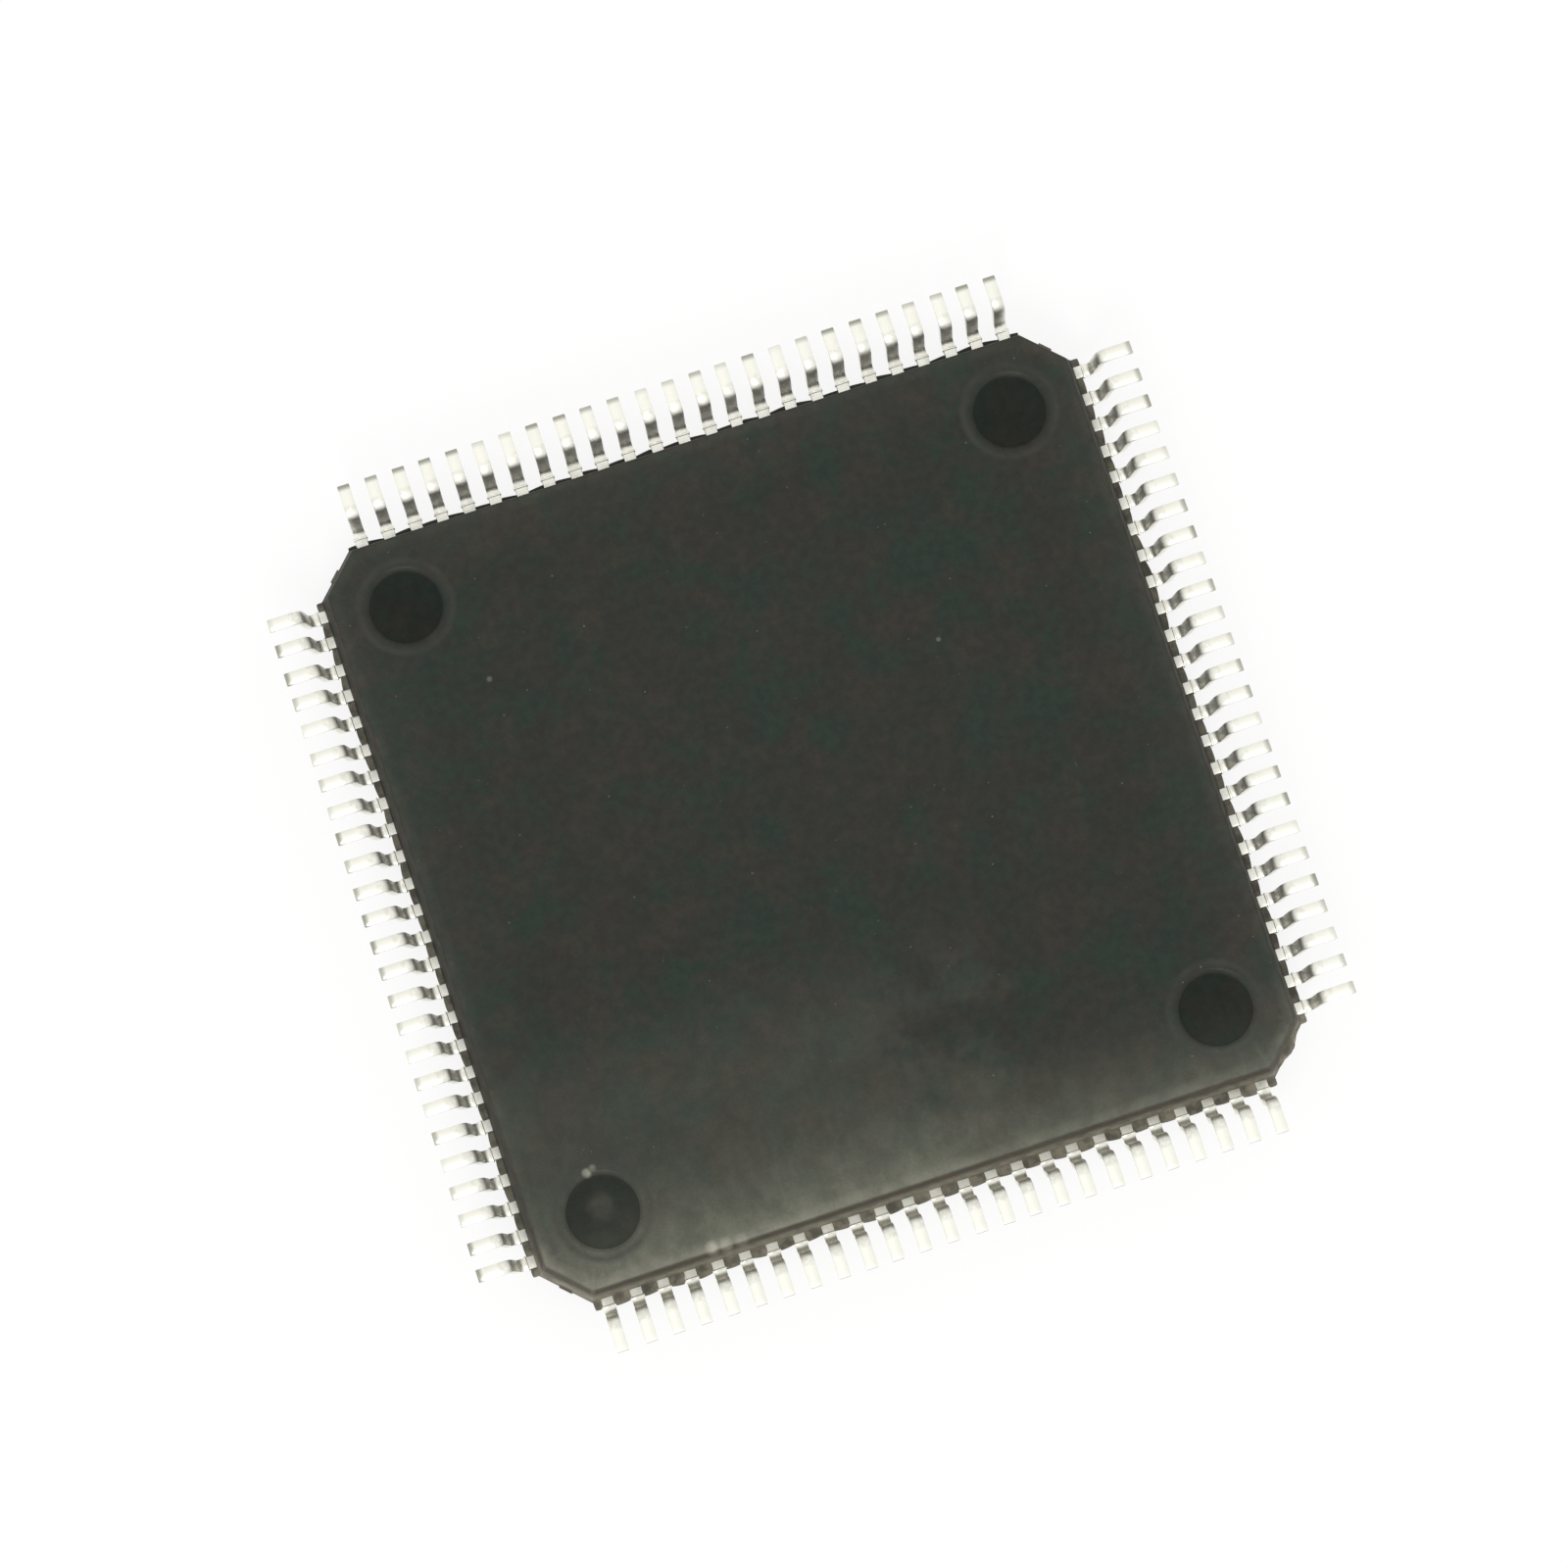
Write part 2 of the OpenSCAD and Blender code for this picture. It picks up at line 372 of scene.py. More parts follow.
    def copies(self, count: Socket, at: Socket, thing: Socket, turn: Socket,
               size: Socket) -> Socket:
        """Sets copies of an object on points.

        Args:
            count: Number of copies.
            at: Place of each.
            thing: The object.
            turn: Turn of each.
            size: Scale of each.

        Returns:
            The socket of the copies, which aren't real meshes yet.
        """
        points = self.result("GeometryNodePoints", {"Count": count, "Position": at})
        source = self.add("GeometryNodeObjectInfo", {"Object": thing})
        return self.result("GeometryNodeInstanceOnPoints", {
            "Points": points, "Instance": source.outputs["Geometry"], "Rotation": turn,
            "Scale": size})


def rgba(colour: object) -> object:
    """Adds the alpha that a colour socket wants; a socket stays as it is."""
    return colour if isinstance(colour, Socket) else (*colour, 1.0)


def new_material(name: str) -> tuple[Material, Graph]:
    """Makes a material with an empty tree.

    Args:
        name: Name of the material.

    Returns:
        The material and its graph.
    """
    material = bpy.data.materials.new(name)
    material.use_nodes = True
    return material, Graph(material.node_tree)


def new_object(name: str, data: bpy.types.ID) -> Object:
    """Puts a mesh, a lamp or a camera in the scene as an object at the origin.

    Args:
        name: Name of the object.
        data: What it shows.

    Returns:
        The object.
    """
    thing = bpy.data.objects.new(name, data)
    bpy.context.scene.collection.objects.link(thing)
    return thing


def new_bmesh(*names: str) -> BMesh:
    """Starts a bmesh whose vertices store a value under each name.

    Args:
        *names: Names of the values.

    Returns:
        The bmesh.
    """
    bm = bmesh.new()
    for name in names:
        bm.verts.layers.float.new(name)
    return bm


def add_vert(bm: BMesh, at: Sequence[float], **values: float) -> Vert:
    """Adds a vertex.

    Args:
        bm: The bmesh.
        at: Its place.
        **values: The values that it stores, by name.

    Returns:
        The vertex.
    """
    vert = bm.verts.new(at)
    for name, value in values.items():
        vert[bm.verts.layers.float[name]] = value
    return vert


def pairs(ring: Sequence[Vert]) -> list[tuple[Vert, Vert]]:
    """Pairs each vertex of a closed ring with the next."""
    return list(zip(ring, [*ring[1:], ring[0]]))


def bridge(bm: BMesh, first: Sequence[Vert], second: Sequence[Vert]) -> list[bmesh.types.BMFace]:
    """Joins two closed rings of as many vertices with quads.

    Args:
        bm: The bmesh.
        first: One ring.
        second: The other ring.

    Returns:
        The new faces.
    """
    return [bm.faces.new((a, b, d, c)) for (a, b), (c, d) in zip(pairs(first), pairs(second))]


def finish_mesh(name: str, bm: BMesh, smooth: bool = True) -> Object:
    """Makes an object of a bmesh, with its faces turned outwards.

    Args:
        name: Name of the object and of its mesh.
        bm: The bmesh, which is freed.
        smooth: Whether its faces are shaded smooth.

    Returns:
        The object.
    """
    bmesh.ops.recalc_face_normals(bm, faces=bm.faces[:])
    for face in bm.faces:
        face.smooth = smooth
    mesh = bpy.data.meshes.new(name)
    bm.to_mesh(mesh)
    bm.free()
    return new_object(name, mesh)


def enlist(piece: Object, node: str) -> None:
    """Hands a finished piece to the frame.

    Args:
        piece: The piece.
        node: CAD node that it replaces.
    """
    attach(piece, BODY)
    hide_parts(node)
    LOG.info("%s: %d faces, in place of %s", piece.name, len(piece.data.polygons), node)


def grow(name: str, values: dict[str, object],
         lay: Callable[[Graph, dict[str, Socket]], Socket]) -> Object:
    """Makes and runs a tree of Geometry Nodes, and keeps the result as a plain mesh.

    Args:
        name: Name of the object.
        values: A value for each input of the tree, by name.
        lay: Adds the nodes to the tree's graph, given the socket of each input by name, and
            returns the socket of the mesh.

    Returns:
        The object, with no modifier left on it.
    """
    tree = bpy.data.node_groups.new(name, "GeometryNodeTree")
    keys = {label: tree.interface.new_socket(label, in_out="INPUT",
                                             socket_type=INPUT_KINDS[type(value)]).identifier
            for label, value in values.items()}
    tree.interface.new_socket("Geometry", in_out="OUTPUT", socket_type="NodeSocketGeometry")
    g = Graph(tree)
    entry = g.add("NodeGroupInput")
    g.add("NodeGroupOutput", {0: lay(g, {label: entry.outputs[label] for label in values})})
    thing = new_object(name, bpy.data.meshes.new(name))
    modifier = thing.modifiers.new(name, "NODES")
    modifier.node_group = tree
    for label, key in keys.items():
        modifier[key] = values[label]
    evaluated = thing.evaluated_get(bpy.context.evaluated_depsgraph_get())
    mesh = bpy.data.meshes.new_from_object(evaluated)
    thing.modifiers.clear()
    thing.data = mesh
    mesh.name = name
    return thing


# ---- Finishes ----


@dataclass(frozen=True)
class MouldedResin:
    """Matt black moulding compound, with fine grain, cloudy tones and scuffed edges.

    Some of its colour is painted light: a sheen and a highlight along the front edge, a paler
    front wall and paler webs on three sides, and shade under the edges. Each chipped spot gives
    its place along X and Y and its radius, in millimetres, and its strength; those on the front
    edge are the brightest glints of the painted highlight.
    """

    name: str = "moulded_resin"
    base: Colour = (0.0155, 0.0160, 0.0118)
    green: Colour = (0.0090, 0.0200, 0.0132)
    brown: Colour = (0.0260, 0.0200, 0.0132)
    speck: Colour = (0.1100, 0.1080, 0.0900)
    # Pale tone of rubbed edges, also the painted highlight along the front left edge.
    worn: Colour = (0.3400, 0.3350, 0.2700)
    halo: Colour = (0.0360, 0.0375, 0.0310)
    # Painted shade: the dark band on the walls just under the edge.
    seam: Colour = (0.0300, 0.0210, 0.0130)
    torn: Colour = (0.0380, 0.0365, 0.0300)
    # Painted light: the paler tone of the front wall and the webs, as if lit from the front.
    dusty: Colour = (0.2700, 0.2480, 0.1920)
    # Painted sheen: the pale tone of light caught on the face near the front edge.
    bloom: Colour = (0.1300, 0.1320, 0.1000)
    roughness: float = 0.43
    rougher_sides: float = 0.35
    rougher_grain: float = 0.16
    smoother_wear: float = 0.10
    specular: float = 0.28
    grain: float = 0.045 * MM
    grain_depth: float = 0.0035 * MM
    grain_tints: tuple[Colour, Colour] = ((0.5, 0.5, 0.5), (1.5, 1.5, 1.5))
    grain_share: float = 0.5
    cloud: Blotch = Blotch(0.95 * MM, 0.42, 0.62, roughness=0.62)
    cloud_share: float = 0.85
    warm: Blotch = Blotch(0.75 * MM, 0.46, 0.66, roughness=0.62)
    warm_share: float = 0.6
    warm_shift: Triple = (0.013, 0.029, 0.017)
    mottle: Blotch = Blotch(0.17 * MM, 0.30, 0.70, detail=3.0)
    mottle_tints: tuple[Colour, Colour] = ((0.62, 0.60, 0.62), (1.34, 1.40, 1.36))
    mottle_share: float = 0.45
    torn_share: float = 0.8
    seam_share: float = 0.85
    halo_gaps: Blotch = Blotch(0.4 * MM, 0.3, 0.7, 0.25, 0.7, detail=2.0, roughness=0.5)
    ring_gap: float = 0.06 * MM
    ring_depth: float = 0.0006 * MM
    pin_grain: float = 0.35
    # Masks of the lit front and left, and of the webs beside the sides, for the painted light and
    # the painted edge highlight.
    front: Span = (-5.4 * MM, -6.1 * MM)
    left: Span = (2.0 * MM, -3.5 * MM, 0.55, 1.0)
    beside: Span = (6.60 * MM, 6.98 * MM, 0.0, 0.5)
    rub: Blotch = Blotch(0.45 * MM, 0.35, 0.65, 0.35, 1.0, roughness=0.7)
    rub_share: Span = (0.0, 1.0, 0.05, 0.36)
    dust: Blotch = Blotch(0.24 * MM, 0.34, 0.64, 0.30, 1.0, roughness=0.65)
    bloom_bound: Blotch = Blotch(1.2 * MM, 0.3, 0.7, -1.2 * MM, 1.2 * MM)
    bloom_streaks: Blotch = Blotch(0.22 * MM, 0.30, 0.70, 0.82, 1.0, detail=3.0)
    streak_stretch: Triple = (1.0, 0.35, 1.0)
    bloom_patches: Blotch = Blotch(0.5 * MM, 0.35, 0.65, 0.7, 1.0)
    broad_back: Span = (-2.0 * MM, -4.2 * MM)
    broad_right: Span = (2.2 * MM, -0.2 * MM)
    broad_share: float = 0.20
    rise_front: Span = (-4.6 * MM, -6.75 * MM)
    rise_left: Span = (5.5 * MM, -2.5 * MM, 0.55, 1.0)
    rise_power: float = 2.2
    rise_share: float = 0.88
    rim: Span = (5.5 * MM, 6.8 * MM)
    rim_share: float = 0.07
    # Chipped spots and nicks; the three on the front edge are also glints of the painted
    # highlight.
    chips: tuple[Station, ...] = (
        (-5.66, -4.88, 0.11, 0.75), (-5.54, -4.83, 0.09, 0.35), (-5.60, -5.50, 0.34, 0.08),
        (-4.00, -6.79, 0.16, 0.80), (-3.76, -6.81, 0.16, 0.60), (-3.48, -6.82, 0.16, 0.40),
        (3.10, 2.10, 0.06, 0.35), (-4.60, 3.90, 0.07, 0.30))
    chip_core: float = 0.25
    chip_patches: Blotch = Blotch(0.14 * MM, 0.30, 0.70, 0.55, 1.0, detail=2.0, roughness=0.5)
    chips_from: float = 0.9 * MM
    speck_cell: float = 0.13 * MM
    speck_edge: Span = (0.08, 0.16, 1.0, 0.0)
    speck_rarity: float = 0.95

    def material(self, sizes: PackageSizes) -> Material:
        """Builds the material.

        Args:
            sizes: Sizes of the package, for the places of the ejector marks.

        Returns:
            The material.
        """
        material, g = new_material(self.name)
        at = g.place()
        fine = g.noise(at, self.grain, detail=3.0, roughness=0.6)
        colour = g.mix(g.times(g.blotches(at, self.cloud), self.cloud_share), self.base,
                       self.green)
        elsewhere = g.vector("ADD", at, self.warm_shift)
        colour = g.mix(g.times(g.blotches(elsewhere, self.warm), self.warm_share), colour,
                       self.brown)
        tint = g.mix(g.blotches(at, self.mottle), *self.mottle_tints)
        colour = g.mix(self.mottle_share, colour, tint, "MULTIPLY")
        # Painted sheen along the front edge, over the front left and round the rim.
        colour = g.mix(self._bloom(g, at), colour, self.bloom)
        ring = g.times(g.stored("ring"), g.blotches(at, self.halo_gaps))
        colour = g.mix(ring, colour, self.halo)
        colour = g.mix(self.grain_share, colour, g.mix(fine, *self.grain_tints), "MULTIPLY")
        colour = g.mix(self._specks(g, at), colour, self.speck)
        wear, front_lit = self._edges(g, at)
        colour = g.mix(g.times(g.stored("torn"), self.torn_share), colour, self.torn)
        # Painted light: the front wall and the webs of the front and of the sides are made paler,
        # in patches.
        colour = g.mix(front_lit, colour, self.dusty)
        # Painted shade: a dark band on the walls just under the edge.
        colour = g.mix(g.times(g.stored("seam"), self.seam_share), colour, self.seam)
        # Edge wear with a painted highlight along the front left edge, and its glints at the
        # chipped spots there.
        wear = g.math("ADD", wear, self._chipped(g, at), clamp=True)
        colour = g.mix(wear, colour, self.worn)

        side = g.times(g.math("MAXIMUM", g.stored("wall"), g.stored("torn")),
                       self.rougher_sides)
        rough = g.plus(self.roughness, side, g.times(g.less(fine, 0.5), self.rougher_grain))
        rough = g.math("SUBTRACT", rough, g.times(wear, self.smoother_wear), clamp=True)

        floor = g.stored("pin")
        normal = g.bump(g.times(fine, g.spread(floor, 0.0, 1.0, 1.0, self.pin_grain)),
                        self.grain_depth)
        wave = g.math("SINE", g.times(self._from_mark(g, at, sizes),
                                      2 * math.pi / self.ring_gap))
        normal = g.bump(g.times(wave, floor), self.ring_depth, normal)
        g.surface({"Base Color": colour, "Roughness": rough, "Normal": normal,
                   "Specular IOR Level": self.specular})
        return material

    def _edges(self, g: Graph, at: Socket) -> tuple[Socket, Socket]:
        """Marks rubbed edges with their painted highlight, and the painted light on the front
        wall and on the webs of three sides.

        Args:
            g: The graph.
            at: Place on the piece.

        Returns:
            The sockets of two masks: rubbed edges with their painted highlight, and the painted
            light on walls and webs.
        """
        x, y, _ = g.split(at)
        front = g.spread(y, *self.front)
        lit_front_left = g.times(front, g.spread(x, *self.left))
        wear = g.times(g.stored("wear"), g.blotches(at, self.rub),
                       g.spread(lit_front_left, *self.rub_share, smooth=False))
        beside = g.spread(g.math("ABSOLUTE", x), *self.beside)
        webs = g.times(g.stored("torn"), g.math("MAXIMUM", front, beside))
        walls = g.times(g.stored("wall"), front)
        return wear, g.times(g.math("MAXIMUM", walls, webs), g.blotches(at, self.dust))

    def _bloom(self, g: Graph, at: Socket) -> Socket:
        """Marks the painted sheen: a pale band along the front edge, a broad faint one over the
        front left and a faint one round the rim.

        Args:
            g: The graph.
            at: Place on the piece.

        Returns:
            The socket of the mask.
        """
        x, y, _ = g.split(at)
        bound = g.plus(x, g.blotches(at, self.bloom_bound))
        broad = g.times(g.spread(y, *self.broad_back), g.spread(bound, *self.broad_right),
                        self.broad_share)
        rise = g.math("POWER", g.spread(y, *self.rise_front, smooth=False), self.rise_power)
        rise = g.times(rise, g.spread(x, *self.rise_left), self.rise_share)
        rim = g.spread(g.math("MAXIMUM", g.math("ABSOLUTE", x), g.math("ABSOLUTE", y)),
                       *self.rim)
        share = g.plus(broad, rise, g.times(rim, self.rim_share))
        along = g.vector("MULTIPLY", at, self.streak_stretch)
        ragged = g.times(g.blotches(along, self.bloom_streaks),
                         g.blotches(at, self.bloom_patches))
        return g.math("MULTIPLY", share, ragged, clamp=True)

    def _chipped(self, g: Graph, at: Socket) -> Socket:
        """Marks the few pale chipped spots and nicks of this package, on the side that lies up;
        those on the front edge are the brightest glints of the painted edge highlight.

        Args:
            g: The graph.
            at: Place on the piece.

        Returns:
            The socket of the mask.
        """
        flat = g.vector("MULTIPLY", at, (1.0, 1.0, 0.0))
        total = None
        for x, y, radius, strength in self.chips:
            gap = g.measure("DISTANCE", flat, (x * MM, y * MM, 0.0))
            spot = g.spread(gap, self.chip_core * radius * MM, radius * MM, strength, 0.0)
            total = spot if total is None else g.math("MAXIMUM", total, spot)
        upper = g.math("GREATER_THAN", g.split(at)[2], self.chips_from)
        return g.times(total, g.blotches(at, self.chip_patches), upper)

    def _specks(self, g: Graph, at: Socket) -> Socket:
        """Marks a few filler grains that show at the surface.

        Args:
            g: The graph.
            at: Place on the piece.

        Returns:
            The socket of the mask.
        """
        cells = g.add("ShaderNodeTexVoronoi", {"Vector": at, "Scale": 1 / self.speck_cell})
        dot = g.spread(cells.outputs["Distance"], *self.speck_edge)
        parts = g.add("ShaderNodeSeparateColor", {0: cells.outputs["Color"]})
        few = g.math("GREATER_THAN", parts.outputs[0], self.speck_rarity)
        return g.times(dot, few, parts.outputs[1])

    def _from_mark(self, g: Graph, at: Socket, sizes: PackageSizes) -> Socket:
        """Measures the distance from the middle of the nearest ejector mark.

        Args:
            g: The graph.
            at: Place on the piece.
            sizes: Sizes of the package.

        Returns:
            The socket of the distance.
        """
        ways = [g.less(g.math("ABSOLUTE", way), sizes.mark_at) for way in g.split(at)[:2]]
        return g.measure("LENGTH", g.join(*ways))


@dataclass(frozen=True)
class MattTin:
    """Matt tin plating, with fine crystals, duller patches and bends left matt by forming, and
    with painted shade in the heel bends and on the toe tips, whose cut ends are also dark.
    """

    base: Colour = (0.970, 0.960, 0.885)
    dull: Colour = (0.860, 0.850, 0.770)
    # Dark tone of the painted shade in the heel bends and on the toe tips, where the cut end is
    # also dark.
    stain: Colour = (0.330, 0.330, 0.270)
    roughness: float = 0.38
    rougher_patch: float = 0.10
    rougher_bend: float = 0.05
    crystal: float = 0.02 * MM
    crystal_depth: float = 0.0008 * MM
    wave: float = 0.12 * MM
    wave_depth: float = 0.0022 * MM
    patch: Blotch = Blotch(0.22 * MM, 0.45, 0.70, detail=3.0)
    shade: Span = (0.0, 1.0, 0.0, 0.5)
    dull_share: float = 0.33
    scuff: Blotch = Blotch(0.09 * MM, 0.36, 0.60, detail=3.0, roughness=0.65)
    scuff_share: float = 0.22
    # The toe tips are darkened everywhere but towards the front: painted shade together with the
    # dark cut end.
    tips_behind: Span = (-7.3 * MM, -6.3 * MM)
    tip_share: Span = (0.1, 0.8, 0.1, 0.9)

    def material(self) -> Material:
        """Builds the material.

        Returns:
            The material.
        """
        material, g = new_material("matt_tin_plating")
        at = g.place()
        patch = g.blotches(at, self.patch)
        shade = g.spread(g.stored("tone"), *self.shade, smooth=False)
        colour = g.mix(g.times(g.plus(patch, shade), self.dull_share), self.base, self.dull)
        # Painted shade in patches in the concave heel bend.
        scuff = g.times(g.stored("heel"), g.blotches(at, self.scuff), self.scuff_share)
        colour = g.mix(scuff, colour, self.stain)
        # Darkened toe tips, painted shade together with the dark cut end, left off the front row.
        tip = g.times(g.stored("tip"), g.spread(g.split(at)[1], *self.tips_behind),
                      g.spread(g.stored("tone"), *self.tip_share, smooth=False))
        colour = g.mix(tip, colour, self.stain)
        rough = g.plus(self.roughness, g.times(patch, self.rougher_patch))
        rough = g.math("ADD", rough, g.times(g.stored("rub"), self.rougher_bend), clamp=True)
        normal = g.bump(g.noise(at, self.crystal, roughness=0.6), self.crystal_depth)
        normal = g.bump(g.noise(at, self.wave), self.wave_depth, normal)
        g.surface({"Base Color": colour, "Metallic": 1.0, "Roughness": rough,
                   "Normal": normal})
        return material


@dataclass(frozen=True)
class PlainMetal:
    """A bare metal, with its tarnish and fine drawn or sheared lines."""

    name: str
    base: Colour
    tarnish: Colour
    roughness: float
    blotch: float
    line: float
    depth: float
    tarnish_rough: float = 0.12
    line_stretch: Triple = (1.0, 1.0, 0.15)
    smeared: Colour = (0.130, 0.118, 0.095)
    smear_from: float = 1.0

    def material(self) -> Material:
        """Builds the material, smeared dull past a distance from the middle of the piece.

        Returns:
            The material.
        """
        material, g = new_material(self.name)
        at = g.place()
        blotch = g.blotches(at, Blotch(self.blotch, low=0.40, high=0.68))
        smear = g.math("GREATER_THAN", g.measure("LENGTH", at), self.smear_from)
        colour = g.mix(smear, g.mix(blotch, self.base, self.tarnish), self.smeared)
        rough = g.spread(blotch, 0.0, 1.0, self.roughness, self.roughness + self.tarnish_rough)
        lines = g.noise(g.vector("MULTIPLY", at, self.line_stretch), self.line)
        g.surface({"Base Color": colour, "Metallic": 1.0, "Roughness": rough,
                   "Normal": g.bump(lines, self.depth)})
        return material


@dataclass(frozen=True)
class InnerCoat:
    """A piece that isn't metal inside the resin: silicon, glue or tape."""

    name: str
    base: Colour
    other: Colour
    roughness: float
    blotch: float
    metallic: float = 0.0
    coat: float = 0.0
    other_rough: float = 0.1
    fine_share: float = 1 / 6
    fine_depth: float = 0.001 * MM

    def material(self) -> Material:
        """Builds the material.

        Returns:
            The material.
        """
        material, g = new_material(self.name)
        at = g.place()
        share = g.blotches(at, Blotch(self.blotch, low=0.38, high=0.66, detail=5.0,
                                      roughness=0.65))
        rough = g.spread(share, 0.0, 1.0, self.roughness, self.roughness + self.other_rough)
        fine = g.noise(at, self.blotch * self.fine_share)
        g.surface({"Base Color": g.mix(share, self.base, self.other), "Roughness": rough,
                   "Metallic": self.metallic, "Coat Weight": self.coat,
                   "Normal": g.bump(fine, self.fine_depth)})
        return material


# ---- Moulded body ----


@dataclass
class MouldedBody:
    """The square body with drafted walls, cut corners, a parting line and ejector marks.

    The stations at the parting line give an inset from it, a height over it, the wear, and how
    much painted shade lies in the line under the edge. Those under the edge give their drop from
    the flat face and that painted shade, and those of the rim their inset from the edge and the
    wear, which the resin also uses for its painted highlight on the front left. Each ring of a
    mark gives its radius and its rise in millimetres, whether it is on the floor of the mark,
    and how pale it is. The wall ends at a share of the edge's radius from the flat face.
    """

    sizes: PackageSizes
    finish: Material
    floor_finish: Material
    corner_r: float = 0.07 * MM
    # The wear here and on the edge and rim below also carries the resin's painted highlight on the
    # front left.
    corner_wear: float = 0.3
    hold: float = 0.03 * MM
    parting: tuple[Station, ...] = (
        (-0.008 * MM, 0.006 * MM, 0.3, 0.0), (0.002 * MM, 0.010 * MM, 0.0, 0.3))
    wall_from: float = 0.04 * MM
    wall_mark: float = 0.72
    wall_end: float = 0.7
    # Their second number is the painted shade under the edge.
    under_edge: tuple[Station, ...] = (
        (0.46 * MM, 0.0), (0.32 * MM, 0.55), (0.22 * MM, 1.0), (0.09 * MM, 1.0))
    edge_wear: float = 0.9
    edge_fade: float = 1.3
    rim: tuple[Station, ...] = ((0.03 * MM, 0.8), (0.18 * MM, 0.0))
    corner_steps: int = 4
    edge_steps: int = 5
    mark_steps: int = 64
    mark_rings: tuple[Station, ...] = (
        (0.920, 0.000, 0.0, 0.0), (0.865, 0.000, 0.0, 0.7), (0.840, 0.003, 0.0, 1.0),
        (0.815, 0.003, 0.0, 1.0), (0.790, 0.000, 0.0, 0.7), (0.725, 0.000, 0.0, 0.0),
        (0.700, -0.006, 0.0, 0.0), (0.645, -0.068, 1.0, 0.0), (0.632, -0.077, 1.0, 0.0),
        (0.610, -0.080, 1.0, 0.0), (0.560, -0.080, 1.0, 0.0), (0.280, -0.081, 1.0, 0.0))
    floor_from: int = 7

    def build(self) -> Object:
        """Builds the body.

        Returns:
            The finished piece.
        """
        bm = new_bmesh("wear", "pin", "seam", "wall", "ring")
        rings = [self._ring(bm, *station) for station in self._profile()]
        for below, above in zip(rings, rings[1:]):
            bridge(bm, below, above)
        self._flat(bm, rings[-1], self.sizes.high_z, 1)
        self._flat(bm, rings[0], self.sizes.low_z, -1)
        piece = finish_mesh("moulded_body", bm)
        piece.data.materials.append(self.finish)
        piece.data.materials.append(self.floor_finish)
        enlist(piece, "body")
        return piece

    def _profile(self) -> list[Station]:
        """Works out the section of the wall, upwards from the face that the package lies on.

        Returns:
            Its stations, with their heights from the plane that the package lies on.
        """
        s = self.sizes
        rise = (s.high_z - s.low_z) / 2
        lean = math.tan(s.draft)
        centre_in = rise * lean + s.edge_r * math.tan(math.pi / 4 - s.draft / 2)
        upper = [*self.parting, (self.wall_from * lean, self.wall_from, 0.0, 0.0)]
        upper += [((rise - drop) * lean, rise - drop, 0.0, dark) for drop, dark in self.under_edge]
        for step in range(self.edge_steps + 1):
            share = step / self.edge_steps
            turn = s.draft + (math.pi / 2 - s.draft) * share
            upper.append((centre_in - s.edge_r * math.cos(turn),
                          rise - s.edge_r + s.edge_r * math.sin(turn),
                          self.edge_wear * share, max(0.0, 1 - self.edge_fade * share)))
        upper += [(centre_in + inset, rise, wear, 0.0) for inset, wear in self.rim]
        lower = [(inset, -z, *marks) for inset, z, *marks in reversed(upper)]
        return [(inset, s.part_z + z, *marks) for inset, z, *marks in lower + upper]

    def _ring(self, bm: BMesh, inset: float, z: float, wear: float, seam: float) -> list[Vert]:
        """Adds the outline of the body at one height.

        Args:
            bm: The bmesh.
            inset: How far it lies inside the parting line.
            z: Its height.
            wear: How rubbed it is there.
            seam: How much painted shade lies in the line under the edge there.

        Returns:
            The ring's vertices.
        """
        s = self.sizes
        reach = (s.half_w - inset - self.corner_r, s.corner_d - inset - self.corner_r)
        on_wall = min(z - s.low_z, s.high_z - z) > self.wall_end * s.edge_r
        ring = []
        for corner in range(8):
            start, end = math.pi / 4 * corner, math.pi / 4 * (corner + 1)
            near, far = reach[corner % 2], reach[(corner + 1) % 2]
            along = (far - near * math.cos(end - start)) / math.sin(end - start)
            centre = Vector((near * math.cos(start) - along * math.sin(start),
                             near * math.sin(start) + along * math.cos(start)))
            points = [centre + self.corner_r * Vector((math.cos(t), math.sin(t)))
                      for t in (start + (end - start) * k / self.corner_steps
                                for k in range(self.corner_steps + 1))]
            before = points[0] + self.hold * Vector((math.sin(start), -math.cos(start)))
            after = points[-1] + self.hold * Vector((-math.sin(end), math.cos(end)))
            rubbed = [wear, *[max(wear, self.corner_wear)] * len(points), wear]
            ring += [add_vert(bm, (*point, z), wear=rub, seam=seam,
                              wall=self.wall_mark if on_wall else 0.0)
                     for point, rub in zip([before, *points, after], rubbed)]
        return ring

    def _flat(self, bm: BMesh, rim: list[Vert], z: float, way: int) -> None:
        """Closes one of the two flat faces round its ejector marks.

        Args:
            bm: The bmesh.
            rim: The ring that the flat face fills.
            z: Height of the face.
            way: 1 for the face that lies up, -1 for the one that lies down.
        """
        at = self.sizes.mark_at
        mouths = [self._mark(bm, x, y, z, way) for x in (-at, at) for y in (-at, at)]
        edges = [bm.edges.get(pair) for ring in (rim, *mouths) for pair in pairs(ring)]
        bmesh.ops.triangle_fill(bm, use_beauty=True, edges=edges, normal=(0, 0, way))

